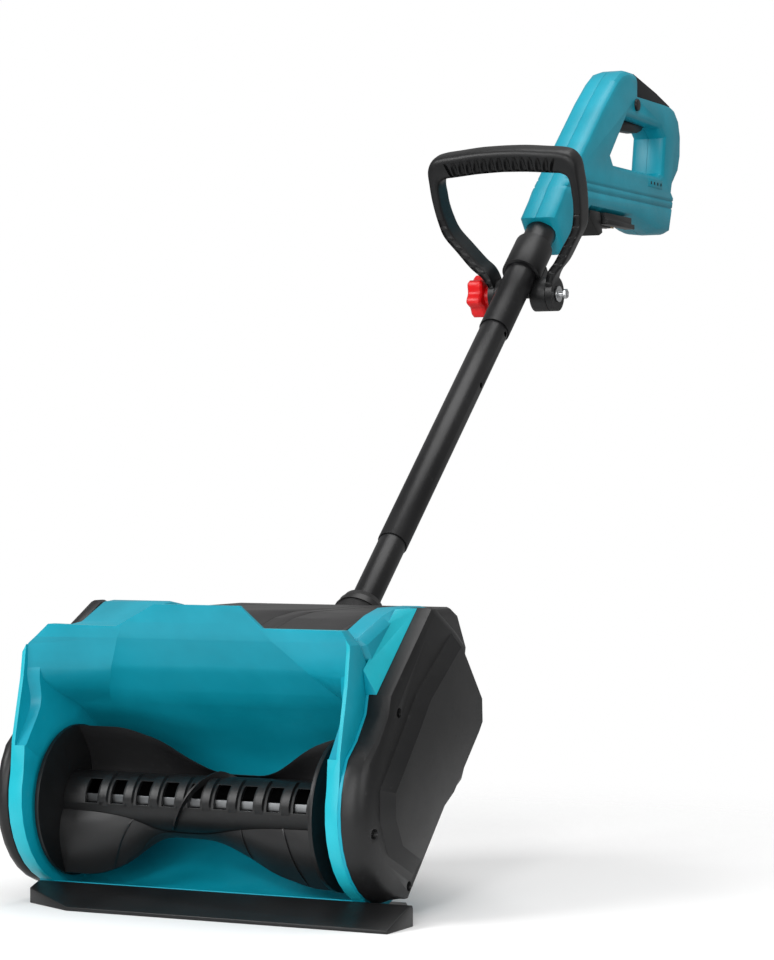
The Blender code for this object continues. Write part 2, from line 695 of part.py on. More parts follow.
def pole():
    lower = tube("lower_tube", LOWER_TUBE, -73, LOWER_RIM + 60, grey_plastic())
    mid = tube("mid_tube", MID_TUBE, LOWER_RIM, UPPER_RIM + 70, grey_plastic())
    upper = tube("upper_tube", UPPER_TUBE, UPPER_RIM, NOSE + 110, grey_plastic())
    side_holes = bmesh.new()
    for s in (UPPER_RIM - 6.6, UPPER_RIM - 6.6 - SLIDE_TRAVEL):
        add_rod(side_holes, "X", (0, s), 3.2, 5, 30, 16)
    cut(mid, helper("side holes cutter", side_holes, pole_frame()))
    slot = [(-3.4, UPPER_BUTTON - SLIDE_TRAVEL - 3.4), (3.4, UPPER_BUTTON - SLIDE_TRAVEL - 3.4),
            (3.4, UPPER_BUTTON + 3.4), (-3.4, UPPER_BUTTON + 3.4)]
    cut(mid, helper("guide slot cutter", prism(slot, "Y", 5, 30), pole_frame()))
    button_hole(upper, "upper", UPPER_BUTTON)
    button_hole(mid, "mid", LOWER_BUTTON)
    button_hole(lower, "lower", LOWER_BUTTON)
    snap_button("upper_snap", UPPER_BUTTON, UPPER_TUBE[0] + 2.5, MID_TUBE[1] - 1.5)
    snap_button("lower_snap", LOWER_BUTTON, MID_TUBE[0] + 2.5, LOWER_TUBE[1] - 1.5)


def button_hole(target, name, s):
    cut(target, helper(f"{name} button hole", rod("Y", (0, s), 3.4, 5, 30, 20), pole_frame()))


def snap_button(name, s, top, bottom):
    """A round button on a folded leaf spring inside the tubes. It stands out on the pole's underside."""
    finish(f"{name}_button", rod("Y", (0, s), 3.0, bottom, top, 20), steel(), pole_frame())
    leaf = [(bottom - 3.4, s - 9), (bottom - 3.4, s + 9), (-6, s + 30), (-9.5, s + 30), (-11.5, s + 6),
            (-10.6, s + 6), (-8.9, s + 29), (-6.4, s + 29), (bottom - 4.3, s + 8.6), (bottom - 4.3, s - 9)]
    finish(f"{name}_spring", prism(leaf, "X", -3.5, 3.5), steel(), pole_frame())


# ---------------------------------------------------------------- clamp and bail

def pivot_local():
    """The clamp bolt in the pole's frame: (y, z)."""
    return -PIVOT_T, PIVOT_S


def handle_clamp():
    clamp = finish("handle_clamp", rod("Z", (0, 0), 21.7, PIVOT_S + 4, PIVOT_S + 53, 40), black_plastic(), pole_frame())
    for side, low in (("left", -EAR_OUTER), ("right", 12.0)):
        ear = rod("X", pivot_local(), EAR_RADIUS, low, low + EAR_OUTER - 12.0, 36)
        join(clamp, helper(f"clamp {side} ear", ear, pole_frame()))
    bridge = box((-20, 20), (10, 24.5), (PIVOT_S - 8, PIVOT_S + 30))
    join(clamp, helper("clamp bridge", bridge, pole_frame()))
    bore = rod("Z", (0, 0), UPPER_TUBE[0] + GAP, PIVOT_S - 60, PIVOT_S + 80, 36)
    cut(clamp, helper("clamp bore cutter", bore, pole_frame()))
    slit = box((-1.2, 1.2), (10, 60), (PIVOT_S - 60, PIVOT_S + 80))
    cut(clamp, helper("clamp slit cutter", slit, pole_frame()))
    hole = rod("X", pivot_local(), BOLT_RADIUS + GAP, -60, 60, 20)
    cut(clamp, helper("clamp bolt cutter", hole, pole_frame()))


def bail_outline():
    """The hand loop seen along its depth: a half outline, mirrored. Numbers are (x, height above the bolt)."""
    outer = [(EAR_OUTER + 8.5, 4), (38.5, 18), (58, 38), (84, 74), (90, 104), (91.5, 130),
             *arc((76.5, 147), 15, 5, 78, 4), (52, 165.5), (26, 168.3)]
    inner = [(28, 141), (56, 138.5), *arc((71, 127.5), 10, 84, 0, 4), (82, 104), (76, 79), (52, 46), (34, 29),
             (EAR_OUTER + 0.4, 22), (EAR_OUTER + 0.4, 4)]
    return outer, inner


def bail_handle():
    outer, inner = bail_outline()
    mirrored = [(-x, z) for x, z in reversed(outer)] + [(-x, z) for x, z in reversed(inner)]
    loop = outer + [(0, 169)] + mirrored + [(0, 142)] + inner
    half = BAIL_DEPTH / 2
    bail = finish("bail_handle", prism(loop, "Y", -half, half), black_plastic(), bail_frame())
    for side, low in (("left", -EAR_OUTER - 8.3), ("right", EAR_OUTER + 0.6)):
        ear = rod("X", (0, 0), EAR_RADIUS, low, low + 7.7, 36)
        join(bail, helper(f"bail {side} ear", ear, bail_frame()))
    cut(bail, helper("bail bolt cutter", rod("X", (0, 0), BOLT_RADIUS + GAP, -60, 60, 20), bail_frame()))
    slots = bmesh.new()
    for index in range(14):
        add_slot(slots, (index - 6.5) * 9.2)
    cut(bail, helper("finger rib cutter", slots, bail_frame()))


def add_slot(bm, x):
    """One finger groove on the grip's front, open below and following the grip's arch."""
    size = (4.8, 9.0, 18.0)
    middle = (x, -BAIL_DEPTH / 2, 144 - 0.0006 * x * x)
    bmesh.ops.create_cube(bm, size=1.0, matrix=Matrix.Translation(middle) @ Matrix.Diagonal((*size, 1)))


def clamp_hardware():
    finish("clamp_bolt", rod("X", (0, 0), BOLT_RADIUS, -58, 50, 20), steel(), bail_frame())
    for side, low in (("left", -41.0), ("right", 39.3)):
        ring = [(BOLT_RADIUS + GAP, low), (9, low), (9, low + 1.6), (BOLT_RADIUS + GAP, low + 1.6)]
        finish(f"{side}_washer", turned(ring, 28), steel(), bail_frame())
    nut = finish("bolt_end_nut", rod("X", (0, 0), 5.6, 46.5, 50, 6), steel(), bail_frame())
    cut(nut, helper("nut bore cutter", rod("X", (0, 0), BOLT_RADIUS + GAP, 40, 60, 20), bail_frame()))
    knob = finish("clamp_knob", prism(knob_outline(), "X", -64, -46), material("red_plastic", RED, 0.35), bail_frame())
    round_edges(knob, 2.5, 1, 60)
    join(knob, helper("knob boss", rod("X", (0, 0), 11, -50, -41.4, 28), bail_frame()))
    cut(knob, helper("knob bore cutter", rod("X", (0, 0), BOLT_RADIUS + GAP, -59, -30, 20), bail_frame()))


def knob_outline():
    """A circle with six finger lobes."""
    points = []
    for i in range(48):
        turn = 2 * math.pi * i / 48
        radius = 21.5 + 2.8 * math.cos(6 * turn)
        points.append((radius * math.cos(turn), radius * math.sin(turn)))
    return points


# ---------------------------------------------------------------- rear handle

def handle_outline():
    """Side view of the rear handle, clockwise seen from the right: (y, z)."""
    barrel_top = [along_pole(NOSE, 23), along_pole(634, 25), along_pole(648, 27), along_pole(820, 27)]
    crown = [(928, 861), (946, 872), (966, 877), (988, 877), (1012, 873)]
    grip = [(1070, 862), (1124, 849), (1140, 836), (1147, 816), (1146, 790), (1138, 770), (1118, 752)]
    base = [(1108, 722), (1096, 690), (1050, 688), (1018, 694), (966, 700), (838, 700)]
    belly = [along_pole(644, -35), along_pole(NOSE, -31)]
    return barrel_top + crown + grip + base + belly


def finger_window():
    return [(912, 769), (950, 808), (962, 820), (1072, 818), (1086, 808), (1078, 764), (1068, 760), (920, 760)]


def flared_window(side):
    """The finger opening with its outer rim eased, so that it doesn't cut the hand."""
    flare = ((-3.0, 0.0), (14.5, 0.0), (19.0, 1.8), (21.2, 4.6), (22.5, 8.5))
    return loft([[(side * x, y, z) for y, z in offset(finger_window(), grow)] for x, grow in flare])


def handle_half(name, side):
    """One casing half. side is 1 on the right and -1 on the left."""
    low, high = sorted((side * GAP / 2, side * HANDLE_HALF_WIDTH))
    half = finish(name, prism(handle_outline(), "X", low, high), teal_plastic())
    round_outer_edges(half, side)
    cut(half, helper(f"{name} window", flared_window(side)))
    reach = sorted((-side * 5, side * (HANDLE_HALF_WIDTH - HANDLE_WALL)))
    hollow = helper(f"{name} hollow", prism(offset(handle_outline(), -HANDLE_RIM), "X", *reach))
    cut(hollow, helper(f"{name} pad floor", box((-40, 40), (988, 1200), (PAD_Z - 3.5, 900))))
    cut(hollow, helper(f"{name} window wall", prism(offset(finger_window(), 4.0), "X", -30, 30)))
    cut(half, hollow)
    bore = rod("Z", (0, 0), UPPER_TUBE[0] + GAP, NOSE - 20, NOSE + 115, 36)
    cut(half, helper(f"{name} tube bore", bore, pole_frame()))
    pad = box((-40, 40), (992, 1200), (PAD_Z, 900))
    cut(half, helper(f"{name} pad seat", pad))
    cut(half, helper(f"{name} lock bore", rod("X", (BUTTON_Y, BUTTON_Z), 7.3, -40, 40, 28)))
    cut(half, helper(f"{name} trigger slot", box((-8.0, 8.0), (958, 1058), (800, PAD_Z - 3.5))))
    cut(half, helper(f"{name} pin hole", rod("X", TRIGGER_PIN, 2.3, -20.6, 20.6, 16)))
    return half


def round_outer_edges(half, side):
    """Rounds only the rim on the outer face."""
    bevel = round_edges(half, 10.0, 3, 60)
    bevel.limit_method = "WEIGHT"
    mesh = half.data
    weights = mesh.attributes.new("bevel_weight_edge", "FLOAT", "EDGE")
    outer = side * HANDLE_HALF_WIDTH * MM
    for edge in mesh.edges:
        ends = [mesh.vertices[v].co.x for v in edge.vertices]
        weights.data[edge.index].value = 1.0 if all(abs(x - outer) < 1e-5 for x in ends) else 0.0


def rear_handle():
    handle_half("handle_right_half", 1)
    handle_half("handle_left_half", -1)
    pad_side = [(993, 876.5), (1012, 873), (1070, 862), (1116, 851), (1116, PAD_Z + GAP), (993, PAD_Z + GAP)]
    pad = finish("soft_grip", prism(pad_side, "X", -17, 17), material("soft_grip_rubber", BLACK, 0.8))
    round_edges(pad, 1.0, 1, 60)
    trigger_parts()
    lock = rod("X", (0, 0), 7.0, -24.5, 24.5, 28)
    finish("lock_button", lock, black_plastic(), shift(0, BUTTON_Y, BUTTON_Z))
    finish("trigger_switch", box((-12, 12), (1004, 1036), (831.5, 843)), black_plastic())
    finish("control_board", box((-17, 17), (930, 1060), (726, 728)), material("board", GREEN, 0.5))
    battery_bay()


def trigger_parts():
    side = [(964, 819), (966, 811), (986, 807), (1030, 809), (1046, 814), (1056, 822), (1056, 834), (1042, 835),
            (1030, 823), (966, 823)]
    trigger = finish("trigger", prism(side, "X", -6.5, 6.5), black_plastic())
    set_pivot(trigger, 0, *TRIGGER_PIN)
    cut(trigger, helper("trigger pin cutter", rod("X", TRIGGER_PIN, 2.3, -20, 20, 16)))
    cut(trigger, helper("trigger spring cutter", rod("X", TRIGGER_PIN, 5.0, 2.0, 20, 20)))
    finish("trigger_pin", rod("X", (0, 0), 2.0, -20.3, 20.3, 16), steel(), shift(0, *TRIGGER_PIN))
    finish("trigger_spring", torsion_spring(), steel(), shift(0, *TRIGGER_PIN))


def torsion_spring():
    """Three turns of wire round the trigger pin."""
    turns, per_turn, wire, radius = 3, 12, 0.6, 3.4
    rings = []
    for i in range(turns * per_turn + 1):
        angle = 2 * math.pi * i / per_turn
        centre = Vector((2.9 + 1.4 * i / per_turn, radius * math.cos(angle), radius * math.sin(angle)))
        outward = Vector((0, math.cos(angle), math.sin(angle))) * wire
        sideways = Vector((wire, 0, 0))
        round_wire = [2 * math.pi * k / 6 for k in range(6)]
        rings.append([centre + outward * math.cos(turn) + sideways * math.sin(turn) for turn in round_wire])
    return loft(rings)


def battery_bay():
    """The rails that a battery slides onto, the contact block between them and the catch in front."""
    rail = finish("battery_rails", box((-26, 26), (878, 963), (691, 699.7)), black_plastic())
    lip = helper("rail lips", box((-30, 30), (878, 963), (686, 691.5)))
    join(rail, lip)
    cut(rail, helper("contact bay cutter", box((-18, 18), (890, 980), (680, 695))))
    finish("contact_block", box((-14, 14), (894, 926), (685, 694.7)), grey_plastic())
    for index, x in enumerate((-9.0, 0.0, 9.0)):
        blade = box((x - 1, x + 1), (926.3, 946), (686.5, 692.5))
        finish(f"battery_contact_{index + 1}", blade, material("brass", BRASS, 0.3, 1.0))
    catch = [(838, 699.7), (868, 699.7), (876, 676), (866, 672), (836, 690)]
    finish("battery_catch", prism(catch, "X", -24, 24), black_plastic())


# ---------------------------------------------------------------- screws

def cover_screws():
    """Pan-head screws at the bottom of the cover's three deep recesses."""
    seat = COVER_FACE - SCREW_RECESS + 0.2
    for index, (y, z) in enumerate(COVER_SCREWS):
        body = finish(f"cover_screw_{index + 1}", rod("X", (y, z), 2.0, CASE_RIGHT + 1.0, seat + 1.0, 12), steel())
        join(body, helper(f"cover screw head {index + 1}", rod("X", (y, z), 4.2, seat, seat + 2.5, 16)))


# ---------------------------------------------------------------- build

clear_scene()
PARTS = new_collection("cordless_snow_shovel")
HELPERS = new_collection("cutters")

auger_housing()
scraper_bar()
belt_case()
belt_cover()
left_case()
left_cover()
motor_housing()
pole_socket()
motor()
belt_drive()
auger_shaft()
auger_discs()
auger_hub()
auger_paddles()
pole()
handle_clamp()
bail_handle()
clamp_hardware()
rear_handle()
cover_screws()
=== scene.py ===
# %% [markdown]
# # A cordless snow shovel, dressed piece by piece
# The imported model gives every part's place and size. This lesson keeps those sizes and adds
# what a solid model leaves out: rounded mould edges, ribs and grooves, real finishes and light.
# Each cell makes one thing and prints what it made.

import json
import math

import bmesh
import bpy
from mathutils import Matrix, Vector


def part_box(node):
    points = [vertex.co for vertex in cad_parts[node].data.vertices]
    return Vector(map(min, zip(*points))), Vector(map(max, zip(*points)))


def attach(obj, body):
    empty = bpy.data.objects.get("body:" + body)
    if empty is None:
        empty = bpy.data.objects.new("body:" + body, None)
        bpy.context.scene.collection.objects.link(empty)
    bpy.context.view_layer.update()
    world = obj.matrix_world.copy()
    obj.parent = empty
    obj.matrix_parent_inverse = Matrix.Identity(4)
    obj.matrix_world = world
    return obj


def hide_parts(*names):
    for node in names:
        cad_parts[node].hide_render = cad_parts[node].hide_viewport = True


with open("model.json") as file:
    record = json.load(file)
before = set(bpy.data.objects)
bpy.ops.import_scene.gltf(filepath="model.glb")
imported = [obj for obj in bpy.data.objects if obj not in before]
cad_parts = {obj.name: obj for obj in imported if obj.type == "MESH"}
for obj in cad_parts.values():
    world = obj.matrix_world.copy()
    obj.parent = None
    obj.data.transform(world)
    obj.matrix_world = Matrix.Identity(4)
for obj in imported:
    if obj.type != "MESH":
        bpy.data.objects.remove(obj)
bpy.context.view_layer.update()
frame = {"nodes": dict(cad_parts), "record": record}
NODES = frame["nodes"]
BODY = {node: body for body, nodes in frame["record"]["behaviour"]["bodies"].items() for node in nodes}
SLOT = {part["node"]: part["material_slot"] for part in frame["record"]["subparts"]}
MM = 0.001

# %% [markdown]
# ## Camera
# A product picture is taken from low down and a little to the belt side, with a long lens,
# so that upright edges stay upright. A level camera with no tilt does that here.

# %% Camera
CAMERA_PLACE = (1.3336, -2.3839, 0.3871)
CAMERA_TURN = math.radians(26)
LEVEL = math.radians(90)
camera_data = bpy.data.cameras.new("product_camera")
camera_data.lens = 112.5
camera = bpy.data.objects.new("product_camera", camera_data)
camera.location = CAMERA_PLACE
camera.rotation_euler = (LEVEL, 0, CAMERA_TURN)
bpy.context.scene.collection.objects.link(camera)
bpy.context.scene.camera = camera
print("camera at", tuple(round(v, 3) for v in camera.location))

# %% [markdown]
# ## Shader maths
# Writing node trees by hand is slow to read. A small class wraps one socket and overloads the
# arithmetic operators, so a wear mask can be written as a plain formula.

# %% Socket wrapper
class Field:
    """One output socket, with arithmetic that adds Math nodes."""

    def __init__(self, tree, socket):
        self.tree = tree
        self.socket = socket

    def node(self, kind, settings=None, inputs=None, output=0):
        """Adds any node: its settings first, then the values or links of its sockets."""
        made = self.tree.nodes.new(kind)
        for name, value in (settings or {}).items():
            setattr(made, name, value)
        for name, value in (inputs or {}).items():
            connect(self.tree, made.inputs[name], value)
        return Field(self.tree, made.outputs[output])

    def maths(self, operation, *values):
        return self.node("ShaderNodeMath", {"operation": operation}, dict(enumerate(values)))

    def __add__(self, other):
        return self.maths("ADD", self, other)

    def __sub__(self, other):
        return self.maths("SUBTRACT", self, other)

    def __mul__(self, other):
        return self.maths("MULTIPLY", self, other)

    def __rsub__(self, other):
        return self.maths("SUBTRACT", other, self)

    __radd__ = __add__
    __rmul__ = __mul__

    def above(self, level, width=0.05):
        """0 below the level, 1 above it, with a soft step."""
        return self.node("ShaderNodeMapRange", {"interpolation_type": "SMOOTHSTEP"},
                         {"Value": self, "From Min": level - width, "From Max": level + width})


def connect(tree, socket, value):
    if isinstance(value, Field):
        tree.links.new(value.socket, socket)
    else:
        socket.default_value = value


def new_material(name):
    """A material with a Principled shader, its tree, and Object coordinates as a Field."""
    made = bpy.data.materials.new(name)
    made.use_nodes = True
    tree = made.node_tree
    shader = tree.nodes["Principled BSDF"]
    coordinates = tree.nodes.new("ShaderNodeTexCoord")
    return made, tree, shader, Field(tree, coordinates.outputs["Object"])


def noise(place, scale, detail=3.0, roughness=0.5):
    return place.node("ShaderNodeTexNoise", {}, {"Vector": place, "Scale": scale, "Detail": detail,
                                                 "Roughness": roughness})


def mix_colours(amount, low, high):
    return amount.node("ShaderNodeMix", {"data_type": "RGBA"}, {0: amount, 6: low, 7: high}, output=2)


def bump(height, strength, distance):
    return height.node("ShaderNodeBump", {}, {"Height": height, "Strength": strength, "Distance": distance})


print("shader helpers ready")

# %% [markdown]
# ## Moulded plastic
# Injection-moulded ABS has an even colour, a fine spark-eroded grain and faint handling marks that
# change how sharply it reflects. Noise at three sizes gives those: a broad one for tone, a middle one
# for wiped patches in the roughness, and a very fine one as bump for the grain.

# %% Plastic finishes
def moulded(name, colour, roughness, grain=0.25, grain_scale=2600.0, dust=0.06):
    made, tree, shader, place = new_material(name)
    broad = noise(place, 9.0, 4.0, 0.6)
    patch = noise(place, 38.0, 5.0, 0.65)
    scuffs = noise(place, 210.0, 2.0).above(0.68, 0.06) * patch.above(0.52, 0.1)
    darker = (*[c * 0.86 for c in colour], 1.0)
    lighter = (*[min(1.0, c * 1.10 + 0.004) for c in colour], 1.0)
    base = mix_colours(broad.above(0.5, 0.25), darker, lighter)
    dusty = (*[c * 0.6 + 0.12 for c in colour], 1.0)
    connect(tree, shader.inputs["Base Color"], mix_colours(scuffs * dust, base, dusty))
    connect(tree, shader.inputs["Roughness"], patch * 0.14 + (roughness - 0.07) + scuffs * 0.12)
    pebble = noise(place, grain_scale, 2.0, 0.4)
    connect(tree, shader.inputs["Normal"], bump(pebble, grain, 0.00012))
    shader.inputs["Specular IOR Level"].default_value = 0.32
    return made


TEAL = moulded("teal_shell", (0.0, 0.27, 0.365), 0.38, grain=0.14)
# The paler teal is a painted highlight for narrow faces that catch the light, not a second colour of the
# plastic.
PAINTED_HIGHLIGHT = moulded("teal_painted_highlight", (0.006, 0.36, 0.44), 0.34, grain=0.10)
BLACK = moulded("black_shell", (0.0045, 0.0046, 0.005), 0.40, grain=0.30)
GREY = moulded("dark_grey_shell", (0.011, 0.0105, 0.011), 0.40, grain=0.25)
BLADE = moulded("scraper_plastic", (0.009, 0.009, 0.0095), 0.44, grain=0.35)
RED = moulded("red_knob", (0.66, 0.002, 0.004), 0.32, grain=0.10)
DARK = moulded("inner_plastic", (0.006, 0.006, 0.007), 0.60)
print("plastics:", [m.name for m in (TEAL, PAINTED_HIGHLIGHT, BLACK, GREY, BLADE, RED, DARK)])

# %% [markdown]
# ## Metal, rubber and paint
# The tubes are powder coated, the fasteners are zinc plated and brushed by turning, and the grip pad
# and paddles are rubber. The metals get streaks round their axis, the rubbers a broken, matt skin.

# %% Metals, rubber, paint and board
def plated(name, colour, roughness, stretch=(900.0, 40.0, 40.0)):
    made, tree, shader, place = new_material(name)
    streaks = place.node("ShaderNodeMapping", {}, {"Vector": place, "Scale": stretch})
    lines = noise(streaks, 1.0, 2.0)
    stain = noise(place, 60.0, 4.0)
    connect(tree, shader.inputs["Base Color"],
            mix_colours(stain.above(0.6, 0.2), (*colour, 1.0), (*[c * 0.72 for c in colour], 1.0)))
    connect(tree, shader.inputs["Roughness"], lines * 0.18 + (roughness - 0.05) + stain * 0.06)
    shader.inputs["Metallic"].default_value = 1.0
    connect(tree, shader.inputs["Normal"], bump(lines, 0.12, 0.0002))
    return made


STEEL = plated("zinc_steel", (0.60, 0.61, 0.62), 0.26)
BAR_STEEL = plated("bar_steel", (0.17, 0.175, 0.18), 0.34)
BRASS = plated("contact_brass", (0.78, 0.55, 0.22), 0.30)
TUBE = moulded("powder_coat", (0.0055, 0.0055, 0.006), 0.34, grain=0.45, grain_scale=1500.0)
RUBBER = moulded("soft_rubber", (0.010, 0.010, 0.011), 0.62, grain=0.5, grain_scale=1700.0)
PADDLE = moulded("paddle_rubber", (0.0085, 0.0085, 0.009), 0.40, grain=0.3, grain_scale=900.0)
BELT = moulded("belt_rubber", (0.008, 0.008, 0.008), 0.7, grain=0.5)
BOARD = moulded("circuit_board", (0.01, 0.14, 0.05), 0.35)
FINISH = {"teal_plastic": TEAL, "black_plastic": BLACK, "grey_plastic": GREY, "tube_paint": TUBE,
          "steel": STEEL, "brass": BRASS, "red_plastic": RED, "soft_rubber": RUBBER,
          "paddle_rubber": PADDLE, "belt_rubber": BELT, "board": BOARD}
print("finishes for slots:", sorted(FINISH))

# %% [markdown]
# ## Dressing a solid
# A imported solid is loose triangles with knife-sharp edges, and no moulded part has those. The helper
# below copies a solid, welds it, clears the flat faces of their diagonals and rounds the edges with a
# Bevel modifier. The copy stands for the solid and moves with its body.

# %% Helpers that make pieces
SHARP = math.radians(30)
SMALL_EDGE = 0.25


def as_piece(obj, *nodes, body=None, slot=None):
    """The finished object stands for these solids, if any, and rides on their body."""
    if nodes:
        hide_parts(*nodes)
    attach(obj, body or BODY[nodes[0]])
    return obj


def applied(obj):
    """Turns an object's live modifiers into plain mesh."""
    bpy.context.view_layer.update()
    graph = bpy.context.evaluated_depsgraph_get()
    mesh = bpy.data.meshes.new_from_object(obj.evaluated_get(graph), depsgraph=graph)
    obj.modifiers.clear()
    obj.data = mesh
    return obj


def link(name, mesh, material):
    """A new object in the scene, with one finish if it's given."""
    obj = bpy.data.objects.new(name, mesh)
    if material is not None:
        mesh.materials.clear()
        mesh.materials.append(material)
    bpy.context.scene.collection.objects.link(obj)
    return obj


def smooth(obj, angle):
    obj.data.shade_smooth()
    obj.data.set_sharp_from_angle(angle=math.radians(angle))
    return obj


def welded(node):
    """A solid's mesh with its points merged and its flat faces freed of diagonals."""
    bm = bmesh.new()
    bm.from_mesh(NODES[node].data)
    bmesh.ops.remove_doubles(bm, verts=bm.verts, dist=2e-5)
    bmesh.ops.dissolve_limit(bm, angle_limit=math.radians(0.6), verts=bm.verts, edges=bm.edges)
    mesh = bpy.data.meshes.new(node)
    bm.to_mesh(mesh)
    bm.free()
    return mesh


def rounded(obj, width, shade=32.0):
    """Rounds every edge sharper than 30 degrees, by width millimetres."""
    bevel = obj.modifiers.new("mould edges", "BEVEL")
    bevel.width = width * MM
    bevel.segments = 2
    bevel.limit_method = "ANGLE"
    bevel.angle_limit = SHARP
    bevel.use_clamp_overlap = True
    applied(obj)
    return smooth(obj, shade)


def dress(node, width):
    """A rounded copy of one solid, in its finish."""
    skin = link(f"{node}_skin", welded(node), FINISH[SLOT[node]])
    return as_piece(rounded(skin, width), node)


EDGE = {"scraper_bar": 0.7, "belt_case": 0.8, "belt_cover": 0.8, "left_case": 1.2, "left_cover": 0.8,
        "pole_socket": 0.8, "handle_clamp": 1.0, "clamp_knob": 1.6, "soft_grip": 1.5, "trigger": 1.2,
        "battery_rails": 0.5, "battery_catch": 0.8}
HAND_MADE = {"auger_housing", "auger_upper_paddle", "auger_lower_paddle", "bail_handle", "motor_housing",
             "handle_left_half", "handle_right_half"}
SKIN = {node: dress(node, EDGE.get(node, SMALL_EDGE)) for node in sorted(set(NODES) - HAND_MADE)}
print("dressed", len(SKIN), "solids")

# %% [markdown]
# ## Creases, seams and grooves
# A mould line or a panel seam is a shallow channel, and a stiffening crease is a fold in a sheet. Both
# need new edges first. Cutting the mesh with planes adds them exactly where they belong, and then only
# the vertices near the cut move.

# %% Mesh edits along planes
def edit(obj, change):
    """Runs change on the object's mesh as a bmesh, in metres."""
    bm = bmesh.new()
    bm.from_mesh(obj.data)
    change(bm)
    bm.to_mesh(obj.data)
    bm.free()


def slice_mesh(bm, point, normal):
    """Cuts the mesh along a plane, which adds edges there and moves nothing."""
    bmesh.ops.bisect_plane(bm, geom=bm.verts[:] + bm.edges[:] + bm.faces[:], dist=1e-7,
                           plane_co=point, plane_no=normal)


def groove(obj, axis, place, width, depth, inside=lambda co: True):
    """A channel in the plane where the axis' coordinate is place. Sizes are in millimetres."""
    def change(bm):
        normal = Vector([float(name == axis) for name in "XYZ"])
        for share in (-0.5, -0.25, 0.25, 0.5):
            slice_mesh(bm, normal * (place + share * width) * MM, normal)
        bm.normal_update()
        for vert in bm.verts:
            if abs(vert.co.dot(normal) / MM - place) < width * 0.3 and inside(vert.co):
                vert.co -= vert.normal * depth * MM
    edit(obj, change)


def paint(obj, material, test):
    """Gives a second material, here a painted highlight, to the faces whose middle and normal pass the
    test.
    """
    obj.data.materials.append(material)
    for face in obj.data.polygons:
        if test(face.center / MM, face.normal):
            face.material_index = len(obj.data.materials) - 1


print("edit helpers ready")

# %% [markdown]
# ## The deflector and its cheeks
# The blue sheet is folded along two slanting creases that stiffen it, and outside them its wings lean
# towards the cheeks' front edges. The rim all round catches the light, so those narrow faces get a painted
# highlight in a paler teal.

# %% Deflector
CREASES = (((-72, 254), (-112, 194)), ((72, 254), (128, 190)))
CHEEK_FRONT = ((150, -80), (171, -75), (207, -66), (240, -61), (282, -69))
CHEEK_INSIDE = (166.3, 161.4)
WING_FOOT, WING_FULL = 172.0, 212.0
WING_LEAN = 0.85


def along_line(points, z):
    """The second number of a table of points, at z."""
    for (z0, y0), (z1, y1) in zip(points, points[1:]):
        if z <= z1:
            return y0 + (y1 - y0) * (z - z0) / (z1 - z0)
    return points[-1][1]


def wing_lean(x, z):
    """How far a point of the sheet leans, as a share of the way to the cheek's front edge."""
    side = int(x > 0)
    (x0, z0), (x1, z1) = CREASES[side]
    line = abs(x0 + (x1 - x0) * (z - z0) / (z1 - z0))
    beyond = min(1.0, max(0.0, (abs(x) - line) / (CHEEK_INSIDE[side] - line)))
    rise = min(1.0, max(0.0, (z - WING_FOOT) / (WING_FULL - WING_FOOT)))
    return WING_LEAN * beyond * rise * rise * (3 - 2 * rise)


def fold_wings(bm):
    for (x0, z0), (x1, z1) in CREASES:
        along = Vector((x1 - x0, 0, z1 - z0)).normalized()
        slice_mesh(bm, Vector((x0, 0, z0)) * MM, along.cross(Vector((0, 1, 0))))
    for z in range(172, 280, 8):
        slice_mesh(bm, Vector((0, 0, z)) * MM, Vector((0, 0, 1)))
    bm.normal_update()
    for vert in bm.verts:
        x, y, z = vert.co / MM
        front = along_line(CHEEK_FRONT, z)
        if z > WING_FOOT and abs(x) < CHEEK_INSIDE[x > 0] + 0.3 and front < y < 30 and vert.normal.y < -0.1:
            vert.co.y += (front - y) * wing_lean(x, z) * MM


def crisp_creases(obj):
    """Marks the edges along both creases as sharp, so that the fold shows as a line."""
    mesh = obj.data
    for edge in mesh.edges:
        ends = [mesh.vertices[i].co / MM for i in edge.vertices]
        for (x0, z0), (x1, z1) in CREASES:
            off = [abs(x - x0 - (x1 - x0) * (z - z0) / (z1 - z0)) for x, y, z in ends]
            if max(off) < 0.4 and min(end.z for end in ends) > WING_FOOT:
                edge.use_edge_sharp = True


def is_highlit_rim(middle, normal):
    """True on the sheet's top edge and on the cheeks' front edges, where the painted highlight goes."""
    x, y, z = middle
    top = normal.z > 0.75 and z > 232
    side = (x < -156 or x > 153 if z < 146 else x < -166.4 or x > 161.4) and normal.y < -0.35
    return top or side


housing = link("auger_housing_skin", welded("auger_housing"), TEAL)
edit(housing, fold_wings)
rounded(housing, 0.5, 30.0)
crisp_creases(housing)
# The rim faces get the paler teal as a painted highlight.
paint(housing, PAINTED_HIGHLIGHT, is_highlit_rim)
as_piece(housing, "auger_housing")


def is_highlit_facet(middle, normal):
    """True on the slanting facet that rises from the belt case to the cover's rim, which gets a painted
    highlight.
    """
    return middle.x > 165 and 0.7 < normal.x < 0.985 and normal.z > 0.1


# The belt case's slanting facet gets the paler teal as a painted highlight, where light from above and the
# right falls on it.
paint(SKIN["belt_case"], PAINTED_HIGHLIGHT, is_highlit_facet)
print("deflector with", len(housing.data.polygons), "faces")

# %% [markdown]
# ## Rows of copies with Geometry Nodes
# Tabs, lamps and ribs repeat along a straight line. One node tree does them all: a line of points, a
# copy on each, then real geometry and a finish. The result is turned into plain mesh at once.

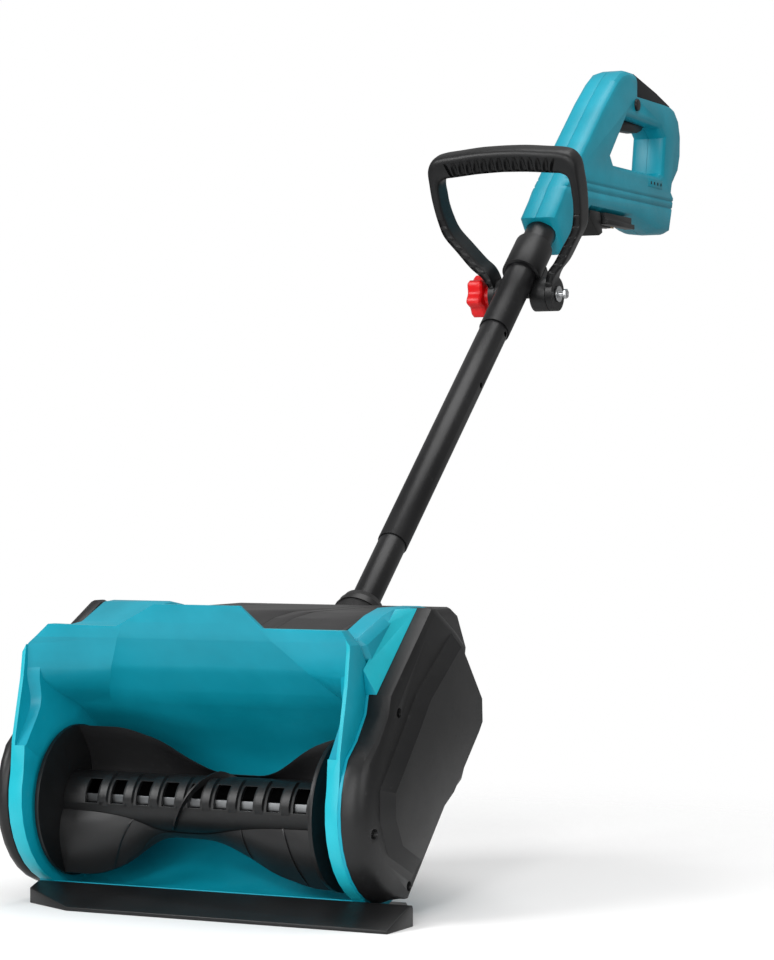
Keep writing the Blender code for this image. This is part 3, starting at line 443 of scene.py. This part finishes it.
# %% A row of copies
def row_tree():
    """Geometry Nodes that repeat an object along a line and make the copies plain mesh."""
    tree = bpy.data.node_groups.new("row_of_copies", "GeometryNodeTree")
    interface = tree.interface
    interface.new_socket("Geometry", in_out="OUTPUT", socket_type="NodeSocketGeometry")
    names = {"Copy": "NodeSocketObject", "Count": "NodeSocketInt", "Start": "NodeSocketVector",
             "Step": "NodeSocketVector", "Finish": "NodeSocketMaterial"}
    for name, kind in names.items():
        interface.new_socket(name, in_out="INPUT", socket_type=kind)
    given = tree.nodes.new("NodeGroupInput")
    line = tree.nodes.new("GeometryNodeMeshLine")
    copy = tree.nodes.new("GeometryNodeObjectInfo")
    place = tree.nodes.new("GeometryNodeInstanceOnPoints")
    real = tree.nodes.new("GeometryNodeRealizeInstances")
    finish = tree.nodes.new("GeometryNodeSetMaterial")
    result = tree.nodes.new("NodeGroupOutput")
    joins = ((given, "Count", line, "Count"), (given, "Start", line, "Start Location"),
             (given, "Step", line, "Offset"), (given, "Copy", copy, "Object"),
             (line, "Mesh", place, "Points"), (copy, "Geometry", place, "Instance"),
             (place, "Instances", real, "Geometry"), (real, "Geometry", finish, "Geometry"),
             (given, "Finish", finish, "Material"), (finish, "Geometry", result, "Geometry"))
    for source, out, target, into in joins:
        tree.links.new(source.outputs[out], target.inputs[into])
    return tree


ROW = row_tree()


def row(name, shape, count, start, step, material, body, slot):
    """Copies of a shape at start, start + step and so on, in millimetres, as one piece."""
    holder = link(name, bpy.data.meshes.new(name), None)
    modifier = holder.modifiers.new("row", "NODES")
    modifier.node_group = ROW
    values = {"Copy": shape, "Count": count, "Start": [v * MM for v in start],
              "Step": [v * MM for v in step], "Finish": material}
    for item in ROW.interface.items_tree:
        if item.in_out == "INPUT":
            modifier[item.identifier] = values[item.name]
    applied(holder)
    bpy.data.objects.remove(shape)
    smooth(holder, 40)
    return as_piece(holder, body=body, slot=slot)


def loft(name, rings, material, place=Matrix.Identity(4)):
    """A closed mesh through rings of points in millimetres."""
    bm = bmesh.new()
    loops = [[bm.verts.new(place @ (Vector(point) * MM)) for point in ring] for ring in rings]
    count = len(loops[0])
    for a, b in zip(loops, loops[1:]):
        for k in range(count):
            n = (k + 1) % count
            bm.faces.new((a[k], a[n], b[n], b[k]))
    bm.faces.new(loops[0])
    bm.faces.new(loops[-1])
    bmesh.ops.recalc_face_normals(bm, faces=bm.faces)
    mesh = bpy.data.meshes.new(name)
    bm.to_mesh(mesh)
    bm.free()
    return link(name, mesh, material)


def block(name, low, high, material, width=0.5):
    """A rounded block between two corners, in millimetres."""
    (x0, y0, z0), (x1, y1, z1) = low, high
    ends = [[(x, y0, z0), (x, y1, z0), (x, y1, z1), (x, y0, z1)] for x in (x0, x1)]
    return rounded(loft(name, ends, material), width)


print("row tree has", len(ROW.nodes), "nodes")

# %% [markdown]
# ## Auger: two paddles, a slotted drum and a steel core
# Each paddle is a curved rubber sheet whose outer edge dips to the drum near the middle, so that snow is
# swept inward. The shape is a rule, an edge radius for each x and a lean from root to edge, so the mesh
# is computed and comes out smooth. Ribs stiffen the lower paddle's face.

# %% Paddles
AXLE_Z = sum(corner.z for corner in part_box("auger_shaft")) / 2 / MM
HUB_RADIUS = 28.0
ROOT_RADIUS = HUB_RADIUS + 0.6
PADDLE_THICKNESS = 4.5
EDGE_THINNING = 0.45
WAIST = ((-150, 69), (-102, 68.5), (-64, 58), (-33, 42), (-6, 31.5), (12, 30), (50, 30), (65, 39),
         (84, 56), (104, 65), (118, 69), (134, 69))
AT_AXLE = Matrix.Translation((0, 0, AXLE_Z * MM))


def eased_waist(x, reach=9.0):
    """Outer radius at x: the waist's corner points, averaged over a short reach."""
    total = 0.0
    for shift in (-reach, -reach / 2, 0.0, reach / 2, reach):
        for (x0, r0), (x1, r1) in zip(WAIST, WAIST[1:]):
            if x + shift <= x1 or x1 == WAIST[-1][0]:
                share = min(1.0, max(0.0, (x + shift - x0) / (x1 - x0)))
                total += r0 + (r1 - r0) * share
                break
    return total / 5


def paddle_point(x, share, lift, lower):
    """A point of a paddle: share runs from root 0 to edge 1, lift is the height off its middle sheet."""
    along = -x if lower else x
    edge = max(ROOT_RADIUS + 0.8, eased_waist(along))
    tip = math.radians(100 + 9 * along / 140)
    lean = 0.82 * math.acos(min(1.0, HUB_RADIUS / edge))
    radius = ROOT_RADIUS + (edge - ROOT_RADIUS) * share
    turn = tip + lean * (1 - share) ** 1.3 - lift / radius
    sign = -1 if lower else 1
    return x, -sign * radius * math.cos(turn), sign * radius * math.sin(turn)


def paddle(name, lower, steps=110, shares=9):
    """The whole paddle as one skin. Its sheet gets thinner towards the edge."""
    low, high = (corner.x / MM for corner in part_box(name))
    half = PADDLE_THICKNESS / 2
    rings = []
    for i in range(steps + 1):
        x = low + (high - low) * i / steps
        front, back = [], []
        for k in range(shares + 1):
            lift = half * (1 - EDGE_THINNING * (k / shares) ** 6)
            front.append(paddle_point(x, k / shares, lift, lower))
            back.append(paddle_point(x, k / shares, -lift, lower))
        rings.append(front + back[::-1])
    return as_piece(smooth(loft(f"{name}_skin", rings, PADDLE, AT_AXLE), 40), name)


paddle("auger_upper_paddle", False)
paddle("auger_lower_paddle", True)
RIBS = ((-74, -98), (-34, -72), (36, 40), (80, 96))


def face_rib(name, root_x, edge_x, height=2.2, thickness=2.0, steps=14):
    """A low rib across the lower paddle's face, from the drum to the edge."""
    rings = []
    for i in range(steps + 1):
        share = i / steps
        x = root_x + (edge_x - root_x) * share
        base = PADDLE_THICKNESS / 2 - 0.6
        top = base + 0.6 + height * min(1.0, 5 * (1 - share), 0.3 + 4 * share)
        rings.append([paddle_point(x + dx, 0.98 * share, -lift, True)
                      for dx, lift in ((-thickness / 2, base), (-thickness / 3, top), (thickness / 3, top),
                                       (thickness / 2, base))])
    return as_piece(smooth(loft(name, rings, PADDLE, AT_AXLE), 40), body="auger", slot="paddle_rubber")


for number, (root_x, edge_x) in enumerate(RIBS, start=1):
    face_rib(f"paddle_rib_{number}", root_x, edge_x)
print("paddles with", len(RIBS), "ribs")

# %% [markdown]
# ## Drum details
# Short arches bridge the drum's windows, and a flat steel bar behind them ties the paddles together.
# A thin fin crosses the drum at a slant between the two paddles.

# %% Drum details
def ring_point(x, radius, degrees):
    """A point about the axle. 0 degrees faces forward, 90 is up."""
    turn = math.radians(degrees)
    return x, -radius * math.cos(turn), radius * math.sin(turn)


def arch(name, width, start, end, low, high, steps=16):
    """A low strap round the drum between two angles."""
    rings = []
    for i in range(steps + 1):
        turn = start + (end - start) * i / steps
        top = low + (high - low) * min(1.0, 6 * i / steps, 6 * (steps - i) / steps)
        rings.append([ring_point(-width / 2, low, turn), ring_point(-width / 2 + 1.2, top, turn),
                      ring_point(width / 2 - 1.2, top, turn), ring_point(width / 2, low, turn)])
    return loft(name, rings, BLACK, AT_AXLE)


WINDOW_PITCH = 27.0
row("drum_tabs", arch("tab", 9.5, -4, 76, HUB_RADIUS - 0.3, HUB_RADIUS + 2.4), 8,
    (-118 + WINDOW_PITCH / 2, 0, 0), (WINDOW_PITCH, 0, 0), BLACK, "auger", "black_plastic")
bar = block("paddle_core_bar", (-138, -23.2, AXLE_Z + 1.5), (118, -20.6, AXLE_Z + 9.0), BAR_STEEL, 0.4)
as_piece(bar, body="auger", slot="steel")


def slanting_fin(name, steps=30):
    """A thin fin on the drum, from its top at the middle to its underside further left."""
    rings = []
    for i in range(steps + 1):
        share = i / steps
        turn = 100 - 150 * share
        x = 16 - 52 * share ** 0.8
        top = HUB_RADIUS + 5.5 * min(1.0, 8 * share, 8 * (1 - share)) + 0.2
        foot = HUB_RADIUS - 0.4
        section = ((-1.1, foot), (-0.8, top), (0.8, top), (1.1, foot))
        rings.append([ring_point(x + dx, radius, turn) for dx, radius in section])
    return smooth(loft(name, rings, BLACK, AT_AXLE), 50)


as_piece(slanting_fin("drum_fin"), body="auger", slot="black_plastic")
print("drum dressed")

# %% [markdown]
# ## Bail handle
# The hand loop is one moulding whose section changes from flat arms to a full, rounded grip. It is swept:
# stations along the loop give the outer and the inner edge, and a rounded section is drawn between them.
# Finger grooves and the waffle on the arms are dents in that sweep, so they are real geometry.

# %% Bail handle
BAIL_TILT = math.radians(23.2)
BOLT = sum(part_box("bolt_end_nut"), Vector()) / 2
AT_BOLT = Matrix.Translation((0, BOLT.y, BOLT.z)) @ Matrix.Rotation(BAIL_TILT, 4, "X")
BAIL_DEPTH = 28.0
EAR = (19.0, 31.2, 38.7)
OUTER = ((39.0, 2), (38.8, 14), (45.5, 26), (57, 38), (70, 57), (82.5, 76), (86.5, 93), (88.4, 108),
         (89.4, 122), (89.7, 138), (89.2, 153.5), (82.5, 164), (71, 168), (52, 170), (26, 172.4), (0, 173))
INNER = ((31.2, 2), (31.2, 16), (35.5, 30), (45, 41), (57.5, 58), (71, 77), (76.3, 93), (78.8, 108),
         (79, 120), (78.6, 130), (75.8, 137.5), (69, 141.4), (61, 142.2), (50, 143.2), (28, 145), (0, 146))
ARM, CORNER, GRIP = [12] * 9, [10] * 3, [40] * 3
SAMPLES = ARM + CORNER + GRIP
GROOVE_PITCH = 9.2
GROOVED = 65


def catmull(points, samples):
    """A smooth curve through points. samples gives the number of steps in each span."""
    ends = [points[0], *points, points[-1]]
    curve = []
    for steps, p0, p1, p2, p3 in zip(samples, ends, ends[1:], ends[2:], ends[3:]):
        for i in range(steps):
            t = i / steps
            curve.append(tuple(0.5 * (2 * b + (c - a) * t + (2 * a - 5 * b + 4 * c - d) * t * t
                                      + (3 * b - a - 3 * c + d) * t ** 3)
                               for a, b, c, d in zip(p0, p1, p2, p3)))
    return curve + [tuple(points[-1])]


def finger_dent(x, height, front):
    """Depth of the grip's oval grooves at x. height is -1 at the section's foot and 1 at its top."""
    if abs(x) > GROOVED or not front:
        return 0.0
    across = ((x + GROOVE_PITCH / 2) % GROOVE_PITCH - GROOVE_PITCH / 2) / 3.5
    upward = (height + 0.55) / 0.95
    return 4.2 * math.sqrt(max(0.0, 1 - across ** 2 - max(0.0, upward) ** 2))


def waffle_dent(length, height, front):
    """Depth of the shallow pockets in an arm's face."""
    if not front or abs(height) > 0.72 or abs(height) < 0.10:
        return 0.0
    return 1.6 if (length % 13.0) > 2.6 else 0.0


def bail_rings():
    """The loop's sections, from one ear over the grip to the other."""
    half_outer, half_inner = catmull(OUTER, SAMPLES), catmull(INNER, SAMPLES)
    outer = half_outer + [(-x, z) for x, z in half_outer[-2::-1]]
    inner = half_inner + [(-x, z) for x, z in half_inner[-2::-1]]
    length, rings, last = 0.0, [], None
    for (ox, oz), (ix, iz) in zip(outer, inner):
        middle = ((ox + ix) / 2, (oz + iz) / 2)
        length += math.dist(middle, last) if last else 0.0
        last = middle
        thick = math.dist((ox, oz), (ix, iz)) / 2
        across = ((ox - ix) / 2 / thick, (oz - iz) / 2 / thick)
        grip = min(1.0, max(0.0, (middle[1] - 122) / 25))
        power = 0.36 + 0.22 * grip
        ring = []
        for k in range(56):
            turn = 2 * math.pi * k / 56
            c, q = math.cos(turn), math.sin(turn)
            height = math.copysign(abs(q) ** power, q)
            depth = math.copysign(abs(c) ** power, c)
            front = depth < -0.55
            dent = finger_dent(middle[0], height, front) if grip > 0.9 else 0.0
            if grip == 0.0 and 14 < middle[1] < 96:
                dent = waffle_dent(length, height, front and depth < -0.9)
            y = depth * BAIL_DEPTH / 2 + dent
            ring.append((middle[0] + across[0] * height * thick, y, middle[1] + across[1] * height * thick))
        rings.append(ring)
    return rings


def bail_ears(bm):
    """The two round ears about the bolt, joined to the loop's ends."""
    radius, low, high = EAR
    for side in (-1, 1):
        across = Matrix.Rotation(math.pi / 2, 4, "Y")
        middle = Matrix.Translation((side * (low + high) / 2 * MM, 0, 0)) @ across
        bmesh.ops.create_cone(bm, cap_ends=True, segments=64, radius1=radius * MM, radius2=radius * MM,
                              depth=(high - low) * MM, matrix=AT_BOLT @ middle)


bail = loft("bail_handle_skin", bail_rings(), BLACK, AT_BOLT)
edit(bail, bail_ears)
smooth(bail, 50)
as_piece(bail, "bail_handle")
print("bail with", len(bail.data.polygons), "faces")

# %% [markdown]
# ## Rear handle
# Both casing halves flare out at the foot, where the battery slides on, and two grooves run along the
# side above it. The flare scales the vertices below a height, and the grooves are the channels from
# before. The joint between the halves is kept nearly sharp, because they close on each other.

# %% Handle halves
FLARE_TOP, FLARE_FULL, FLARE = 743.0, 735.0, 0.20
LINES = (731.0, 722.0)


def flare_foot(bm):
    """Widens the foot of a handle half."""
    for z in (FLARE_TOP, FLARE_FULL):
        slice_mesh(bm, Vector((0, 0, z)) * MM, Vector((0, 0, 1)))
    for vert in bm.verts:
        share = min(1.0, max(0.0, (FLARE_TOP - vert.co.z / MM) / (FLARE_TOP - FLARE_FULL)))
        if abs(vert.co.x) > 18.5 * MM and vert.co.y > 0.83:
            vert.co.x *= 1 + FLARE * share


def soften(obj, width, seam_width):
    """Rounds every sharp edge by width, but the edges on the middle plane only by seam_width."""
    def weigh(bm):
        layer = bm.edges.layers.float.new("bevel_weight_edge")
        for edge in bm.edges:
            if edge.is_manifold and edge.calc_face_angle() > SHARP:
                seam = all(abs(vert.co.x) < 0.4 * MM for vert in edge.verts)
                edge[layer] = seam_width / width if seam else 1.0
    edit(obj, weigh)
    bevel = obj.modifiers.new("mould edges", "BEVEL")
    bevel.width = width * MM
    bevel.segments = 2
    bevel.limit_method = "WEIGHT"
    applied(obj)


for node in ("handle_left_half", "handle_right_half"):
    half = link(f"{node}_skin", welded(node), TEAL)
    soften(half, 1.6, 0.2)
    edit(half, flare_foot)
    for line in LINES:
        groove(half, "Z", line, 2.4, 0.9, lambda co: abs(co.x) > 0.018)
    smooth(half, 34)
    as_piece(half, node)
lamp_disc = block("lamp", (21.6, 1036.4, 747.2), (22.9, 1039.6, 750.8), DARK, 0.5)
row("charge_lamps", lamp_disc, 4, (0, 0, 0), (0, 11, 0), DARK, "upper_pole", "black_plastic")
as_piece(block("charge_panel", (21.4, 1030, 743.8), (22.4, 1076, 754.2), TEAL, 0.4),
         body="upper_pole", slot="teal_plastic")
grip_rib = block("pad_rib", (-15.5, 0, 0), (15.5, 1.4, 1.4), RUBBER, 0.5)
row("grip_pad_ribs", grip_rib, 12, (0, 1022, 869.6), (0, 7.4, -1.62), RUBBER, "upper_pole", "soft_rubber")
print("rear handle dressed")

# %% [markdown]
# ## Motor housing
# The dark rear shell is made of panels: a seam runs across it near each side, and another along its top.

# %% Motor housing
shell = link("motor_housing_skin", welded("motor_housing"), GREY)
rounded(shell, 1.2)
for seam in (-64.0, 46.0, 66.0):
    groove(shell, "X", seam, 2.0, 1.0, lambda co: co.y > 0.0)
smooth(shell, 32)
as_piece(shell, "motor_housing")
print("motor housing with seams")

# %% [markdown]
# ## Floor and light
# A pale floor that fades out round the machine, and five soft lamps, give a plain studio. The key lamp
# shapes the plate, the right one draws a reflection down the black cover, and a low wide fill
# evens out the plate from the front.

# %% Studio
def studio_floor():
    """A wide floor whose paint fades away far from the machine."""
    bm = bmesh.new()
    bmesh.ops.create_grid(bm, x_segments=1, y_segments=1, size=12.0)
    mesh = bpy.data.meshes.new("studio_floor")
    bm.to_mesh(mesh)
    bm.free()
    made, tree, shader, place = new_material("floor_paint")
    shader.inputs["Base Color"].default_value = (0.88, 0.88, 0.88, 1)
    connect(tree, shader.inputs["Roughness"], noise(place, 2.0) * 0.1 + 0.7)
    centre = (0.0, 0.1, 0.0)
    reach = place.node("ShaderNodeVectorMath", {"operation": "DISTANCE"}, {0: place, 1: centre}, output=1)
    connect(tree, shader.inputs["Alpha"], 1.0 - reach.above(0.75, 0.35))
    floor = link("studio_floor", mesh, made)


def lamp(name, place, aim, size, power):
    """A rectangular lamp at place, turned towards aim. Its power is in watts."""
    data = bpy.data.lights.new(name, "AREA")
    data.shape = "RECTANGLE"
    data.size, data.size_y = size
    data.energy = power
    obj = bpy.data.objects.new(name, data)
    obj.location = place
    obj.rotation_euler = (Vector(aim) - Vector(place)).to_track_quat("-Z", "Y").to_euler()
    bpy.context.scene.collection.objects.link(obj)


def studio_world(seen=1.0, lighting=0.34):
    """White behind the object, but a dimmer white for the light that falls on it."""
    world = bpy.data.worlds.new("studio")
    world.use_nodes = True
    tree = world.node_tree
    background = tree.nodes["Background"]
    background.inputs["Color"].default_value = (1, 1, 1, 1)
    path = Field(tree, tree.nodes.new("ShaderNodeLightPath").outputs["Is Camera Ray"])
    connect(tree, background.inputs["Strength"], path * (seen - lighting) + lighting)
    bpy.context.scene.world = world


studio_floor()
LAMPS = (("key", (-1.9, -2.4, 2.4), (0, 0.0, 0.25), (1.6, 1.6), 92),
         ("right", (2.4, -1.3, 1.3), (0.15, 0.1, 0.25), (0.5, 1.6), 18),
         ("top", (0.3, 0.6, 2.8), (0, 0.3, 0.4), (2.0, 2.0), 45),
         ("glint", (0.9, -3.0, 1.7), (0.0, 0.0, 0.15), (0.5, 0.5), 26),
         ("fill", (0.2, -3.2, 0.7), (0.0, 0.0, 0.2), (2.4, 1.2), 38))
for settings in LAMPS:
    lamp(*settings)
studio_world()
bpy.context.scene.view_settings.view_transform = "Standard"
print("studio lit")
